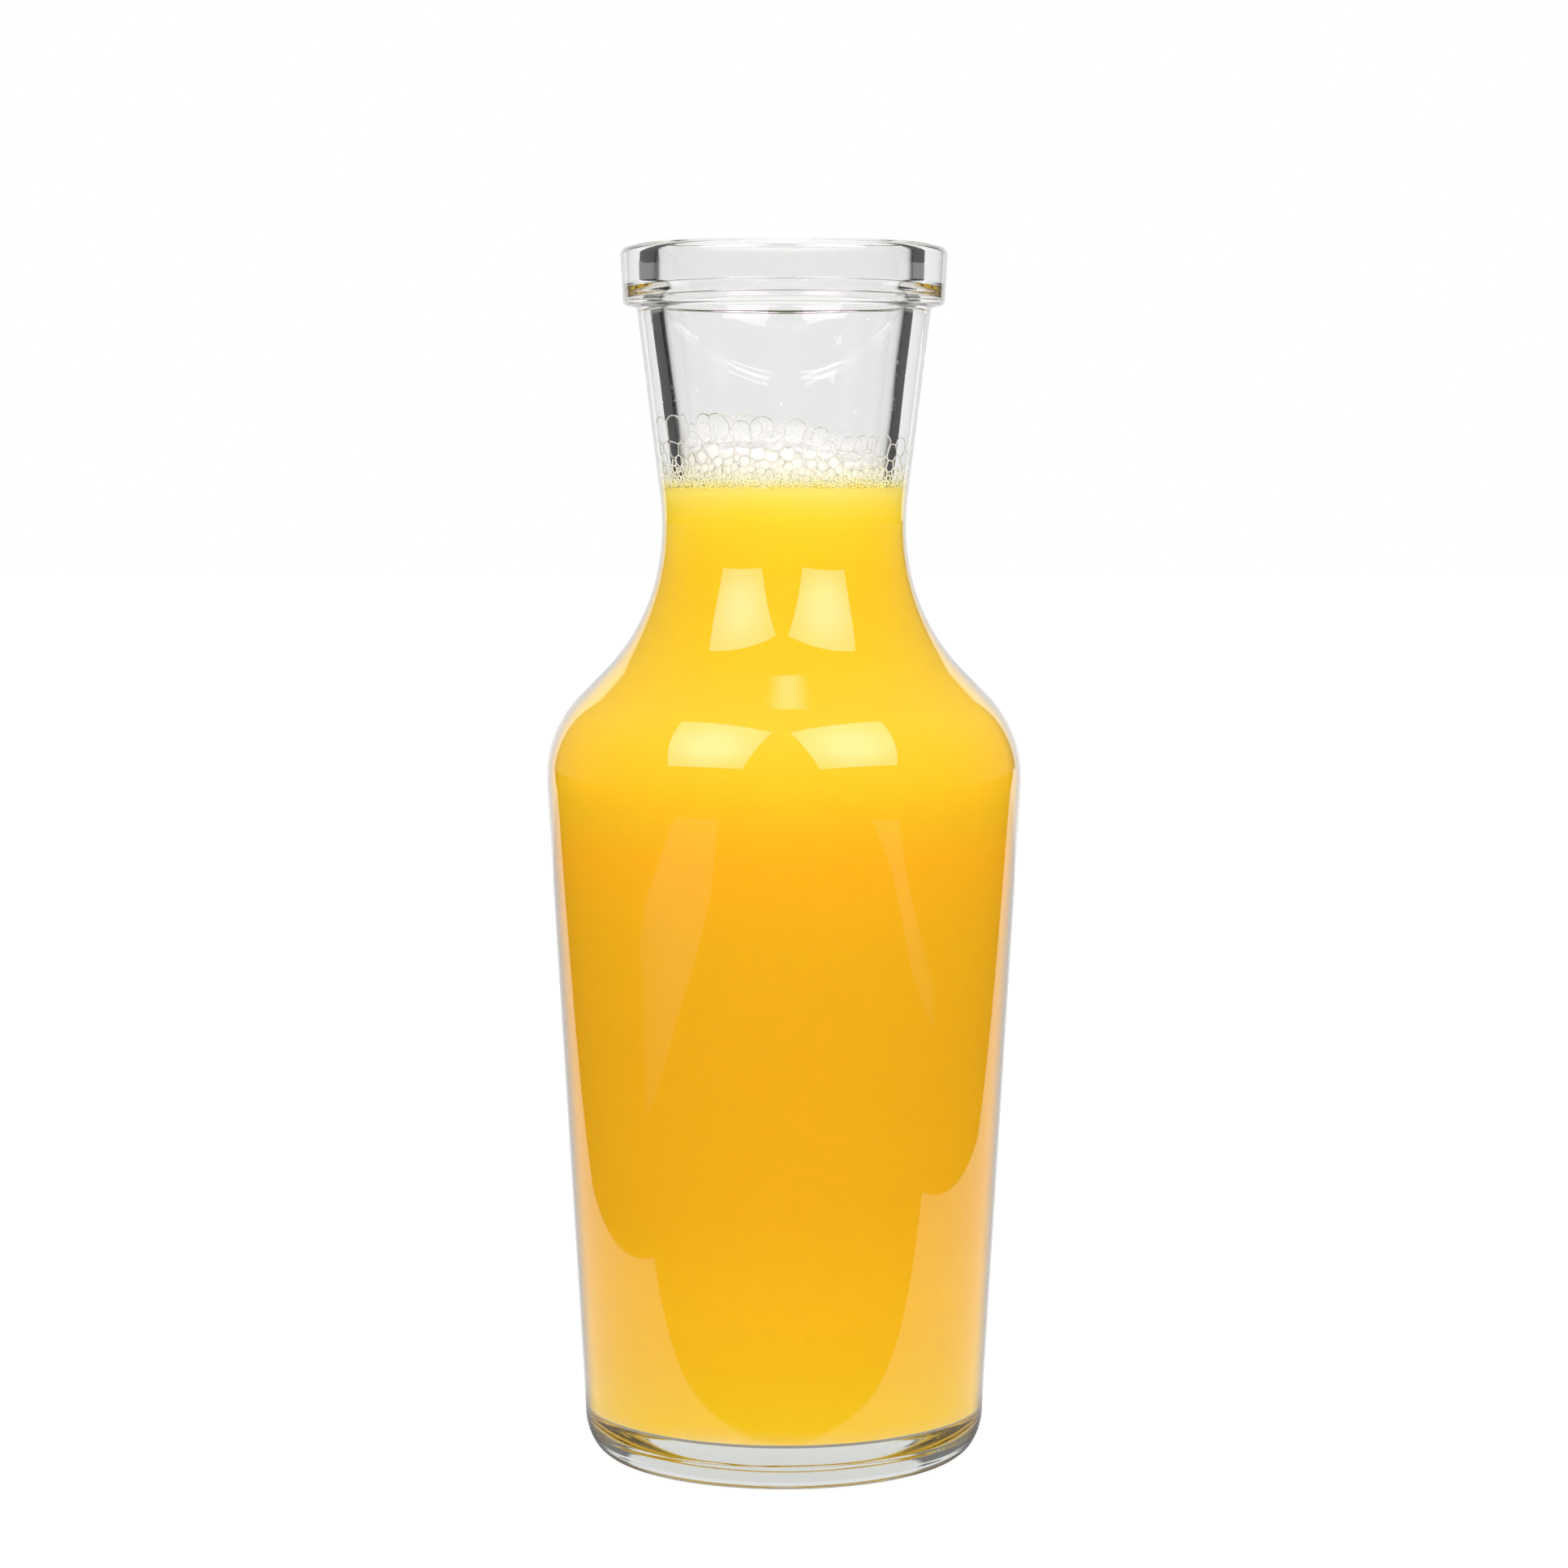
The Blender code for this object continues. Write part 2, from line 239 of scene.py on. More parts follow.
# Colours of the froth, by the share of this height that a place lies over the juice.
FROTH_COLOUR_HEIGHT = 10 * MM
FROTH_DRIFT = 1.5 * MM
# Painted shade: how far the froth's faces that look up are darkened towards black.
TOP_SHADE = 0.27
FROTH_STOPS = [
    (0.06, (1.0, 0.90, 0.22)),
    (0.16, (1.0, 0.99, 0.56)),
    (0.30, (1.0, 1.0, 0.82)),
    (0.55, (0.99, 1.0, 0.90)),
    (0.9, (0.98, 1.0, 0.95)),
]
NET_STOPS = [
    (0.06, (1.0, 0.84, 0.17)),
    (0.16, (1.0, 0.98, 0.48)),
    (0.30, (1.0, 1.0, 0.76)),
    (0.55, (0.96, 0.98, 0.87)),
    (0.9, (0.84, 0.86, 0.79)),
]

# Light. Directions are an azimuth from +Y, positive to +X, and an elevation, in degrees. Strips are
# outlines (x, y) on the table, and the table's sides are lines: the change of x with y, and x at y = 0.
ROOM_LIGHT = 1.54
ROOM_LIGHT_UP = 0.71
ROOM_LIGHT_FACING = 1.18
ROOM_LIGHT_RIGHT = 0.16
ROOM_LIGHT_TABLE = 1.67
BACKDROP_LEFT = -33.0
BACKDROP_RIGHT = 41.0
BACKDROP_OUTER_RIGHT = 29.0
BACKDROP_EDGE = 1.5
BACKDROP_LIGHT = 1.0
BACKDROP_SHEEN = 0.5
BACKDROP_MIDDLE = (8.0, 18.0)
AROUND = (72.0, 80.0)
STUDIO_SIDES = 0.22
STUDIO_FRONT = 0.03
STUDIO_TURN = (-0.2, 0.5)
LAMP_AIM = Vector((0.0, 0.0, 0.17))
LAMP_LOW_DISTANCE = 1.0
LAMP_HIGH_DISTANCE = 0.82
LAMP_LIGHT = 7.6
LAMP_EDGE_SHARE = 0.42
LAMP_COLOUR = (1.0, 0.82, 0.96, 1.0)
LEFT_LAMP = ((-122.0, 17.0), (-160.0, 19.0), (-172.0, 54.5), (-103.0, 52.5))
RIGHT_LAMP = ((123.0, 18.0), (163.0, 19.0), (176.0, 54.5), (106.0, 53.5))
TOP_LAMP_PLACES = ((-0.1, -0.14), (0.14, -0.14), (0.14, -0.06), (-0.1, -0.06))
TOP_LAMP_HEIGHT = 1.0
TOP_LAMP_LIGHT = 3.4
STRIP_LIGHT = (0.55, 0.25)
STRIP_FADE = (-0.32, -0.1)
STRIP_LEVEL = 0.002
LEFT_STRIP = (
    (-0.6, -0.48), (-0.585, -0.22), (-0.54, -0.16), (-0.305, -0.1),
    (-0.345, -0.26), (-0.335, -0.48), (-0.37, -0.64),
)
RIGHT_STRIP = (
    (0.48, -0.56), (0.508, -0.4), (0.488, -0.3), (0.455, -0.225), (0.425, -0.085),
    (0.486, -0.105), (0.535, -0.23), (0.565, -0.33), (0.62, -0.44),
)
TABLE_LIGHT = 1.15
TABLE_FRONT = -0.075
TABLE_LEFT = ((-0.205, -0.304), (-0.16, -0.66))
TABLE_RIGHT = ((0.261, 0.207), (0.19, 0.655))
TABLE_EDGE = 0.002
TABLE_SHADE = 0.25
TABLE_SHADE_REACH = (0.041, 0.085)
FAR_TABLE = 1.0
FAR_EDGE = 0.05
FLOOR_SIZE = 6.0
FLOOR_LEVEL = -0.0002
FLOOR_GLOW = 0.82
FLOOR_SHADE = 0.25
WHITE = (1.0, 1.0, 1.0, 1.0)
BLACK = (0.0, 0.0, 0.0, 1.0)

# Camera, as fitted to the outline in the photograph.
LENS = 91.789
SENSOR = 36.0
CAMERA_PLACE = (0.0, -0.845286, 0.213214)
CAMERA_PITCH = 4.781
CAMERA_NEAREST = 0.01


def arc(centre, radius_r, radius_z, start, end, steps):
    """Points on an elliptical arc in degrees. 0 points away from the axis and 90 points up."""
    angles = [math.radians(start + (end - start) * i / steps) for i in range(steps + 1)]
    return [centre + Vector((radius_r * math.cos(a), radius_z * math.sin(a))) for a in angles]


def curve(start, start_handle, end_handle, end, steps):
    """Points on a cubic curve after its start."""
    points = []
    for i in range(1, steps + 1):
        t = i / steps
        s = 1 - t
        points.append(s**3 * start + 3 * s * s * t * start_handle + 3 * s * t * t * end_handle + t**3 * end)
    return points


def line(start, end, steps):
    """Points on a straight line after its start."""
    return [start.lerp(end, i / steps) for i in range(1, steps + 1)]


def eased(points):
    """The same outline with its sharp corners rounded off a little."""
    done = [points[0]]
    for before, point, after in zip(points, points[1:], points[2:]):
        into, out = point - before, after - point
        if into.angle(out, 0.0) < EASE_FROM:
            done.append(point)
            continue
        start = point - into.normalized() * min(EASE, into.length * EASE_LIMIT)
        end = point + out.normalized() * min(EASE, out.length * EASE_LIMIT)
        for i in range(EASE_STEPS + 1):
            t = i / EASE_STEPS
            done.append(start.lerp(point, t).lerp(point.lerp(end, t), t))
    return [*done, points[-1]]


def point_at_height(low, high, height):
    """The point at this height on the line through two points."""
    return low + (high - low) * ((height - low.y) / (high.y - low.y))


def outer_side():
    """Outside of the body, shoulder and neck, from the top of the heel to the foot of the collar."""
    lean = math.atan2(BODY_TOP_RADIUS - BODY_FOOT_RADIUS, BODY_TOP_HEIGHT - HEEL_HEIGHT)
    body_foot = Vector((BODY_FOOT_RADIUS, HEEL_HEIGHT))
    body_top = Vector((BODY_TOP_RADIUS, BODY_TOP_HEIGHT))
    centre = body_top - SHOULDER_ROUND * Vector((math.cos(lean), -math.sin(lean)))
    shoulder = arc(
        centre, SHOULDER_ROUND, SHOULDER_ROUND, -math.degrees(lean), math.degrees(SHOULDER_SLOPE), 24
    )
    inward = Vector((-math.sin(SHOULDER_SLOPE), math.cos(SHOULDER_SLOPE)))
    flare = Vector((NECK_FLARE, 1.0)).normalized()
    sweep_start = shoulder[-1] + inward * SHOULDER_STRAIGHT
    neck_foot = Vector((NECK_FOOT_RADIUS, NECK_FOOT_HEIGHT))
    handles = (sweep_start + inward * SWEEP_IN, neck_foot - flare * SWEEP_OUT)
    neck_top = point_at_height(neck_foot, neck_foot + flare, COLLAR_FOOT_HEIGHT - COLLAR_UNDERSIDE_FALL)
    return [
        body_foot,
        *line(body_foot, shoulder[0], 30),
        *shoulder[1:],
        *line(shoulder[-1], sweep_start, 3),
        *curve(sweep_start, *handles, neck_foot, 28),
        *line(neck_foot, neck_top, 24),
    ]


def eased_share(value, start, end):
    """How far a value is from start to end, from 0 to 1, without a sudden change at either."""
    t = min(max((value - start) / (end - start), 0.0), 1.0)
    return t * t * (3 - 2 * t)


def wall_thickness(height):
    """The wall is thin in the body, and thicker in the neck and a little in the foot."""
    neck = eased_share(height, BODY_TOP_HEIGHT, NECK_FOOT_HEIGHT)
    foot = eased_share(height, FOOT_WALL_HEIGHT, FLOOR_HEIGHT)
    return BODY_WALL + (NECK_WALL - BODY_WALL) * neck + FOOT_WALL * foot


def inner_side():
    """Inside of the wall, from the top of the inner heel to the ledge: the outside, less the wall."""
    outside = outer_side()
    inside = []
    for i, point in enumerate(outside):
        before = outside[max(i - 1, 0)]
        after = outside[min(i + 1, len(outside) - 1)]
        along = (after - before).normalized()
        inside.append(point + Vector((-along.y, along.x)) * wall_thickness(point.y))
    low, high = FLOOR_HEIGHT + INNER_HEEL_ROUND, LEDGE_HEIGHT - LEDGE_FALL
    first, last = point_at_height(inside[0], inside[1], low), point_at_height(inside[-2], inside[-1], high)
    return [first, *[p for p in inside if low < p.y < high], last]


INNER_SIDE = inner_side()
INNER_HEIGHTS = [point.y for point in INNER_SIDE]


def inner_radius(height):
    """Radius of the inside of the wall at this height."""
    above = min(max(bisect.bisect_left(INNER_HEIGHTS, height), 1), len(INNER_SIDE) - 1)
    return point_at_height(INNER_SIDE[above - 1], INNER_SIDE[above], height).x


def heel_centre():
    """Centre of the round between the floor and the wall of the hollow."""
    heel_top = FLOOR_HEIGHT + INNER_HEEL_ROUND
    return Vector((inner_radius(heel_top) - INNER_HEEL_ROUND, heel_top))


def bottom_of_hollow():
    """The floor and the round inner heel, from the axis out to the wall."""
    heel = arc(heel_centre(), INNER_HEEL_ROUND, INNER_HEEL_ROUND, -90, 0, 12)
    middle = Vector((0.0, FLOOR_HEIGHT + FLOOR_RISE))
    return [middle, *line(middle, heel[0], 10), *heel[1:-1]]


def mouth():
    """The ledge, the mouth and the lip, from the inside to the top of the collar."""
    lip_round = Vector((MOUTH_RADIUS + LIP_INNER_ROUND, HEIGHT - LIP_INNER_ROUND))
    half_step = LIP_STEP / 2
    return [
        Vector((MOUTH_RADIUS, LEDGE_HEIGHT)),
        *arc(lip_round, LIP_INNER_ROUND, LIP_INNER_ROUND, 180, 90, 8),
        Vector((LIP_RADIUS - half_step, HEIGHT)),
        Vector((LIP_RADIUS, HEIGHT - half_step)),
        Vector((LIP_RADIUS + half_step, HEIGHT - LIP_STEP)),
    ]


def collar():
    """The outside of the collar, from its top to its underside."""
    top = Vector((COLLAR_TOP_RADIUS - COLLAR_TOP_ROUND, HEIGHT - LIP_STEP - COLLAR_TOP_ROUND))
    foot = Vector((COLLAR_FOOT_RADIUS - COLLAR_FOOT_ROUND, COLLAR_FOOT_HEIGHT + COLLAR_FOOT_ROUND))
    return [
        *arc(top, COLLAR_TOP_ROUND, COLLAR_TOP_ROUND, 90, 0, 10),
        *arc(foot, COLLAR_FOOT_ROUND, COLLAR_FOOT_ROUND, 0, -90, 8),
    ]


def base():
    """The round heel, the ring that the carafe rests on and the push-up inside it."""
    centre = Vector((REST_RADIUS, HEEL_HEIGHT))
    return [
        *arc(centre, BODY_FOOT_RADIUS - REST_RADIUS, HEEL_HEIGHT, 0, -90, HEEL_STEPS),
        Vector((REST_INNER_RADIUS, 0.0)),
        Vector((PUSH_UP_RADIUS, PUSH_UP_EDGE)),
        Vector((0.0, PUSH_UP)),
    ]


def place(angle, radius, height):
    """A point by its angle round the axis, its radius and its height."""
    return Vector((radius * math.sin(angle), -radius * math.cos(angle), height))


def smooth_mesh(name, bm):
    """A smooth mesh of what has been built."""
    mesh = bpy.data.meshes.new(name)
    bm.to_mesh(mesh)
    bm.free()
    mesh.shade_smooth()
    return mesh


def finished_mesh(name, points, faces):
    """A smooth mesh whose faces point out."""
    draft = bpy.data.meshes.new(name)
    draft.from_pydata(points, [], faces)
    bm = bmesh.new()
    bm.from_mesh(draft)
    bpy.data.meshes.remove(draft)
    bmesh.ops.recalc_face_normals(bm, faces=bm.faces)
    return smooth_mesh(name, bm)


def turned_mesh(name, section, shape=None):
    """A section of (radius, height) points turned about Z. It starts and ends on the axis.

    shape takes the angle, the radius and the height, and returns the radius that the point gets there.
    """
    rings = section[1:-1]
    points = [place(0.0, 0.0, section[0].y), place(0.0, 0.0, section[-1].y)]
    for point in rings:
        for step in range(TURN_STEPS):
            angle = 2 * math.pi * step / TURN_STEPS
            radius = shape(angle, point.x, point.y) if shape else point.x
            points.append(place(angle, radius, point.y))
    faces = []
    for step in range(TURN_STEPS):
        after = (step + 1) % TURN_STEPS
        faces.append((0, 2 + step, 2 + after))
        for ring in range(len(rings) - 1):
            low, high = 2 + ring * TURN_STEPS, 2 + (ring + 1) * TURN_STEPS
            faces.append((low + step, high + step, high + after, low + after))
        end = 2 + (len(rings) - 1) * TURN_STEPS
        faces.append((end + step, 1, end + after))
    return finished_mesh(name, points, faces)


def uneven(angle, radius, height):
    """Pressed glass isn't quite true: the inside of its wall waves more than the outside, and the heel
    has fine grooves.
    """
    low, high = FLOOR_HEIGHT + INNER_HEEL_ROUND, LEDGE_HEIGHT - LEDGE_FALL
    if radius > REST_RADIUS and height < HEEL_HEIGHT:
        near = min(abs(height - groove) for groove in HEEL_GROOVES) / GROOVE_WIDTH
        mean, swing = GROOVE_SHARE
        share = mean + swing * noise.noise(place(angle, radius, height) / GROOVE_LENGTH)
        return radius - GROOVE_DEPTH * share * math.exp(-near**2)
    if not low < height < high:
        return radius
    inside = radius < inner_radius(height) + BODY_WALL / 2
    wave, length = (INNER_WAVE, INNER_WAVE_LENGTH) if inside else (OUTER_WAVE, OUTER_WAVE_LENGTH)
    wave *= min((height - low) / WAVE_FADE, (high - height) / WAVE_FADE, 1.0)
    return radius + wave * noise.noise(place(angle, radius, height) / length)


def carafe_mesh():
    """The glass: its whole section turned, from the floor of the hollow round to the push-up."""
    outside = reversed(outer_side()[1:])
    section = eased([*bottom_of_hollow(), *INNER_SIDE, *mouth(), *collar(), *outside, *base()])
    return turned_mesh("glass_carafe", section, uneven)


def juice_mesh():
    """The juice up to its level, clear of the floor by a hair and a little way into the wall."""
    centre = heel_centre()
    clear, reaching = INNER_HEEL_ROUND - FLOOR_GAP, INNER_HEEL_ROUND + REACH
    section = [
        Vector((0.0, FLOOR_HEIGHT + FLOOR_RISE + FLOOR_GAP)),
        *arc(centre, clear, clear, -90, CONTACT_FROM - 90, 5),
        *arc(centre, reaching, reaching, CONTACT_FROM - 90 + CONTACT_STEP, CONTACT_TO, 9),
        *[point + Vector((REACH, 0.0)) for point in INNER_SIDE if point.y < JUICE_LEVEL - REACH],
        Vector((inner_radius(JUICE_LEVEL) + REACH, JUICE_LEVEL)),
        Vector((0.0, JUICE_LEVEL)),
    ]
    return turned_mesh("orange_juice", section)


def froth_depth(x):
    """Depth of the froth's body, which falls away on the right."""
    return FROTH_LEFT_DEPTH + (FROTH_RIGHT_DEPTH - FROTH_LEFT_DEPTH) * eased_share(x, *FROTH_FALL)


def varied(i, mean, swing, beat, phase):
    """A share that goes up and down from one bubble to the next."""
    return mean + swing * math.sin(beat * i + phase)


def wall_bubbles():
    """Centre and radius of each large bubble against the glass. They are larger on the left."""
    found = []
    for i in range(WALL_BUBBLES):
        angle = 2 * math.pi * (i + WALL_BUBBLE_UNEVENNESS * math.sin(WALL_BUBBLE_BEAT * i)) / WALL_BUBBLES
        size = 0.5 * (1 - math.cos(angle)) * varied(i, *WALL_BUBBLE_SIZES)
        radius = SMALL_BUBBLE + (LARGE_BUBBLE - SMALL_BUBBLE) * size
        reach = inner_radius(FROTH_FOOT) - WALL_BUBBLE_INSET * radius
        x, y = reach * math.cos(angle), reach * math.sin(angle)
        found.append((Vector((x, y, FROTH_FOOT + froth_depth(x) + WALL_BUBBLE_LIFT * radius)), radius))
    return found


def middle_bubbles():
    """Centre and radius of each large bubble inside that ring."""
    found = []
    for i in range(1, MIDDLE_BUBBLES + 1):
        angle = i * GOLDEN_ANGLE
        size = 0.5 * (1 - math.cos(angle)) * varied(i, *MIDDLE_BUBBLE_SIZES)
        radius = SMALL_BUBBLE + (MIDDLE_BUBBLE - SMALL_BUBBLE) * size
        reach = MIDDLE_BUBBLE_SPREAD * inner_radius(FROTH_FOOT) * math.sqrt(i / (MIDDLE_BUBBLES + 1))
        x, y = reach * math.cos(angle), reach * math.sin(angle)
        found.append((Vector((x, y, FROTH_FOOT + froth_depth(x))), radius))
    return found


def piled_bubbles():
    """Centre and radius of each smaller clear bubble over the froth's core."""
    draw = random.Random(NET_SEED + 3)
    found = []
    for _ in range(PILED_BUBBLES):
        radius = PILED_SMALLEST + (PILED_LARGEST - PILED_SMALLEST) * draw.random() ** PILED_SIZE_POWER
        reach = (inner_radius(FROTH_FOOT) - PILED_INSET * radius) * math.sqrt(draw.random())
        angle = draw.uniform(0, 2 * math.pi)
        x, y = reach * math.cos(angle), reach * math.sin(angle)
        low, high = froth_depth(x) - CORE_LOWER - CORE_ROUND, froth_depth(x) + PILE_TOP - radius
        height = FROTH_FOOT + low + (high - low) * draw.random() ** PILED_HEIGHT_POWER
        found.append((Vector((x, y, height)), radius))
    return found


def edge_bubbles():
    """Centre and radius of each of the smallest clear bubbles, which fill the gaps along the glass."""
    draw = random.Random(NET_SEED + 4)
    found = []
    for _ in range(EDGE_BUBBLES):
        radius = draw.uniform(EDGE_SMALLEST, EDGE_LARGEST)
        angle = draw.uniform(0, 2 * math.pi)
        reach = inner_radius(FROTH_FOOT) - draw.uniform(*EDGE_INSET) * radius
        x, y = reach * math.cos(angle), reach * math.sin(angle)
        low = froth_depth(x) - CORE_LOWER - CORE_ROUND
        height = FROTH_FOOT + low + EDGE_DEPTH * draw.random() ** EDGE_HEIGHT_POWER
        found.append((Vector((x, y, height)), radius))
    return found


class Packing:
    """Round shapes that don't overlap more than they may, each a place and a radius."""

    def __init__(self, limit, around=None):
        self.places = numpy.zeros((limit, 3))
        self.count = 0
        self.around = around

    def offsets(self, x, y):
        """How far the shapes lie from a place, the short way where the plane is wrapped round the axis."""
        away = self.places[:self.count, :2] - (x, y)
        if self.around:
            away[:, 0] = (away[:, 0] + self.around / 2) % self.around - self.around / 2
        return away

    def add(self, x, y, radius, tightness=0.0):
        """Adds a shape, unless the packing is full or one lies closer than this share of both radii."""
        away = self.offsets(x, y)
        apart = numpy.hypot(away[:, 0], away[:, 1])
        least = tightness * (self.places[:self.count, 2] + radius)
        if self.count == len(self.places) or (apart < least).any():
            return
        self.places[self.count] = (x, y, radius)
        self.count += 1


def net_bubbles():
    """The bubbles against the glass: place round the wall, height over the juice and radius."""
    draw = random.Random(NET_SEED)
    around = 2 * math.pi * NET_RADIUS
    packing = Packing(NET_LIMIT, around)
    for centre, radius in wall_bubbles():
        angle = math.atan2(centre.x, -centre.y)
        packing.add(angle * NET_RADIUS, centre.z - JUICE_LEVEL, WALL_BUBBLE_PRINT * radius)
    for i in range(NET_TRIES):
        place_round = draw.uniform(-around / 2, around / 2)
        depth = froth_depth(NET_RADIUS * math.sin(place_round / NET_RADIUS)) + NET_HIGHER
        share = draw.random() ** NET_HEIGHT_POWER
        size = NET_FINEST + (NET_COARSEST - NET_FINEST) * share**NET_SIZE_POWER
        height = depth * share - NET_LOWER
        size *= NET_FIRST_SIZE - NET_SIZE_FALL * i / NET_TRIES
        packing.add(place_round, height, size, NET_TIGHTNESS)
    return packing


def clipped(outline, normal, limit):
    """The part of a convex outline whose distance along the normal is under the limit."""
    kept = []
    for start, end in zip(outline, [*outline[1:], outline[0]]):
        a, b = start.dot(normal) - limit, end.dot(normal) - limit
        if a <= 0:
            kept.append(start)
        if a * b < 0:
            kept.append(start.lerp(end, a / (a - b)))
    return kept


def cell_outline(packing, index):
    """Outline of a bubble against the glass: round, cut flat where it meets its neighbours."""
    x, y, radius = packing.places[index]
    corners = CELL_CORNERS[0] if radius > NET_COARSEST / 2 else CELL_CORNERS[1]
    outline = [
        Vector((math.cos(a), math.sin(a))) * radius * CELL_REACH
        for a in (2 * math.pi * (i + 0.5) / corners for i in range(corners))
    ]
    away = packing.offsets(x, y)
    apart = numpy.hypot(away[:, 0], away[:, 1])
    near = CELL_NEAR * (packing.places[:packing.count, 2] + radius)
    for other in numpy.nonzero((apart > 0) & (apart < near))[0]:
        normal = Vector(away[other]) / apart[other]
        limit = (apart[other] ** 2 + radius**2 - packing.places[other, 2] ** 2) / (2 * apart[other])
        outline = clipped(outline, normal, limit)
        if len(outline) < 3:
            return []
    divided = []
    for start, end in zip(outline, [*outline[1:], outline[0]]):
        steps = max(1, min(CELL_PARTS, round((end - start).length / (CELL_SIDE * radius))))
        divided.extend(start.lerp(end, i / steps) for i in range(steps))
    return divided


def net_mesh():
    """Ribs of liquid on the glass round every bubble, and the hollow of each bubble within the froth."""
    packing = net_bubbles()
    points, faces = [], []

    def ring(x, y, outline, shares, depth):
        """Points of the outline, each drawn to the middle by its share, at a depth from the glass."""
        first = len(points)
        for corner, share in zip(outline, shares):
            angle = (x + corner.x * share) / NET_RADIUS
            height = JUICE_LEVEL + y + corner.y * share
            points.append(place(angle, inner_radius(height) + NET_REACH - depth, height))
        return first

    def band(first, second, count):
        """Faces between two rings."""
        for i in range(count):
            after = (i + 1) % count
            faces.append((first + i, first + after, second + after, second + i))

    for index in range(packing.count):
        x, y, radius = packing.places[index]
        outline = cell_outline(packing, index)
        if not outline:
            continue
        count = len(outline)
        lengths = [corner.length for corner in outline]
        mean = sum(lengths) / count
        rib = RIB + RIB_SHARE * mean + LOW_RIB * max(1 - y / LOW_RIB_HEIGHT, 0.0)
        inner = [
            max(min(length, 0.5 * (length + mean)) - rib, HOLE_LEAST * length) / length
            for length in lengths
        ]
        edge = ring(x, y, outline, [1.0] * count, 0.0)
        lip = ring(x, y, outline, inner, 0.0)
        band(edge, lip, count)
        core_top = froth_depth(NET_RADIUS * math.sin(x / NET_RADIUS)) - CORE_LOWER - CORE_ROUND
        if y + OPEN_FROM * radius > core_top:
            ridge = ring(x, y, outline, [1.0] * count, OPEN_RIB_DEPTH * rib)
            band(lip, ridge, count)
            band(ridge, edge, count)
        else:
            band(lip, ring(x, y, outline, inner, NET_REACH + WELL_DEPTH), count)
    mesh = bpy.data.meshes.new("froth_net")
    mesh.from_pydata(points, [], faces)
    mesh.shade_smooth()
    return mesh


def raft_bubbles():
    """Place and radius of each small bubble on top of the froth. They are larger on the left."""
    draw = random.Random(NET_SEED + 1)
    packing = Packing(RAFT_BUBBLES)
    rim = inner_radius(FROTH_FOOT + FROTH_LEFT_DEPTH) - CORE_INSET
    more, less = RAFT_SIZES
    for _ in range(RAFT_TRIES * RAFT_BUBBLES):
        reach, angle = rim * math.sqrt(draw.random()), draw.uniform(0, 2 * math.pi)
        x = reach * math.cos(angle)
        largest = RAFT_LARGEST * (more - less * x / rim)
        size = RAFT_SMALLEST + (largest - RAFT_SMALLEST) * draw.random() ** 2
        packing.add(x, reach * math.sin(angle), size, RAFT_TIGHTNESS)
    return packing.places[:packing.count]


def core_mesh():
    """The froth behind the net: a plug of foam whose top is a raft of domes."""
    bubbles = raft_bubbles()
    rings = []
    for i in range(1, RAFT_RINGS + 1):
        ring = []
        for step in range(RAFT_STEPS):
            angle = 2 * math.pi * step / RAFT_STEPS
            side = NET_RADIUS * math.sin(angle)
            rim = inner_radius(FROTH_FOOT + froth_depth(side)) - CORE_INSET - RAFT_RIM_SHARE * RAFT_EDGE
            point = place(angle, rim * i / RAFT_RINGS, 0.0)
            away = (bubbles[:, 0] - point.x) ** 2 + (bubbles[:, 1] - point.y) ** 2
            square = bubbles[:, 2] ** 2 - away
            inside = square > 0
            dome = (numpy.sqrt(square[inside]) - RAFT_SINK * bubbles[inside, 2]).max(initial=0.0)
            near = max(i / RAFT_RINGS - CORE_ROUND_FROM, 0.0) / (1 - CORE_ROUND_FROM)
            wave = CORE_UNEVEN * noise.noise(point / CORE_UNEVEN_LENGTH)
            point.z = FROTH_FOOT + froth_depth(point.x) - CORE_LOWER + dome + wave - CORE_ROUND * near**2
            ring.append(point)
        rings.append(ring)
    top = [point.z - RAFT_EDGE for point in rings[-1]]
    low = JUICE_LEVEL - REACH
    for i in range(RAFT_SIDES + 1):
        ring = []
        for step in range(RAFT_STEPS):
            angle = 2 * math.pi * step / RAFT_STEPS
            height = low + (top[step] - low) * (1 - i / RAFT_SIDES)
            point = place(angle, inner_radius(height) - CORE_INSET, height)
            wave = CORE_WAVE * noise.noise(point / CORE_WAVE_LENGTH)
            ring.append(place(angle, point.xy.length + wave, height))
        rings.append(ring)
    points = [Vector((0.0, 0.0, rings[0][0].z)), Vector((0.0, 0.0, low))]
    faces = []
    for i, ring in enumerate(rings):
        points.extend(ring)
        for step in range(RAFT_STEPS):
            after = (step + 1) % RAFT_STEPS
            here = 2 + i * RAFT_STEPS
            if i:
                before = here - RAFT_STEPS
                faces.append((here + step, here + after, before + after, before + step))
            else:
                faces.append((0, here + step, here + after))
    last = 2 + (len(rings) - 1) * RAFT_STEPS
    for step in range(RAFT_STEPS):
        faces.append((last + step, 1, last + (step + 1) % RAFT_STEPS))
    return finished_mesh("froth_core", points, faces)


def film_mesh(name, bubbles):
    """Clear bubbles on the froth, flat where they lie on the glass."""
    bm = bmesh.new()
    for centre, radius in bubbles:
        fineness = 4 if radius > PILED_LARGEST else 3 if radius > PILED_SMALLEST else 2
        made = bmesh.ops.create_icosphere(
            bm, subdivisions=fineness, radius=radius, matrix=Matrix.Translation(centre)
        )
        for vertex in made["verts"]:
            limit = inner_radius(vertex.co.z) - FILM_GAP
            reach = math.hypot(vertex.co.x, vertex.co.y)
            if reach > limit:
                vertex.co.x *= limit / reach
                vertex.co.y *= limit / reach
    return smooth_mesh(name, bm)


